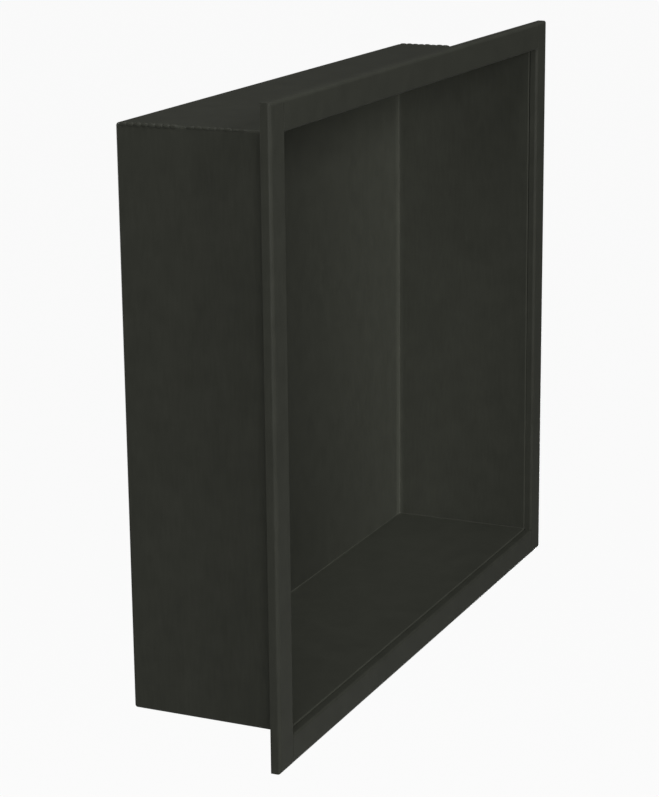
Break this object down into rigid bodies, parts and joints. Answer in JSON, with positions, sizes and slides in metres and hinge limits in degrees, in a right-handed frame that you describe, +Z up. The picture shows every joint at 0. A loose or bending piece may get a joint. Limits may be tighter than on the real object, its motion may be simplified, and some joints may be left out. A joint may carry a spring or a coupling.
{
  "type": "shower niche insert",
  "caption": "Recessed wall niche of folded sheet steel coated black: a rectangular box, open at the front, with a narrow flange that covers the edge of its opening in the wall.",
  "frame": {"origin": "middle of the opening, in the plane of the wall's face that the flange's rim seats on", "axes": "+X to the right seen from in front of the wall, +Y into the wall, +Z up"},
  "size_m": [0.381, 0.09, 0.331],
  "materials": {
    "black_coat": "satin"
  },
  "bodies": {
    "root": {"niche_body": "black_coat"}
  },
  "joints": []
}
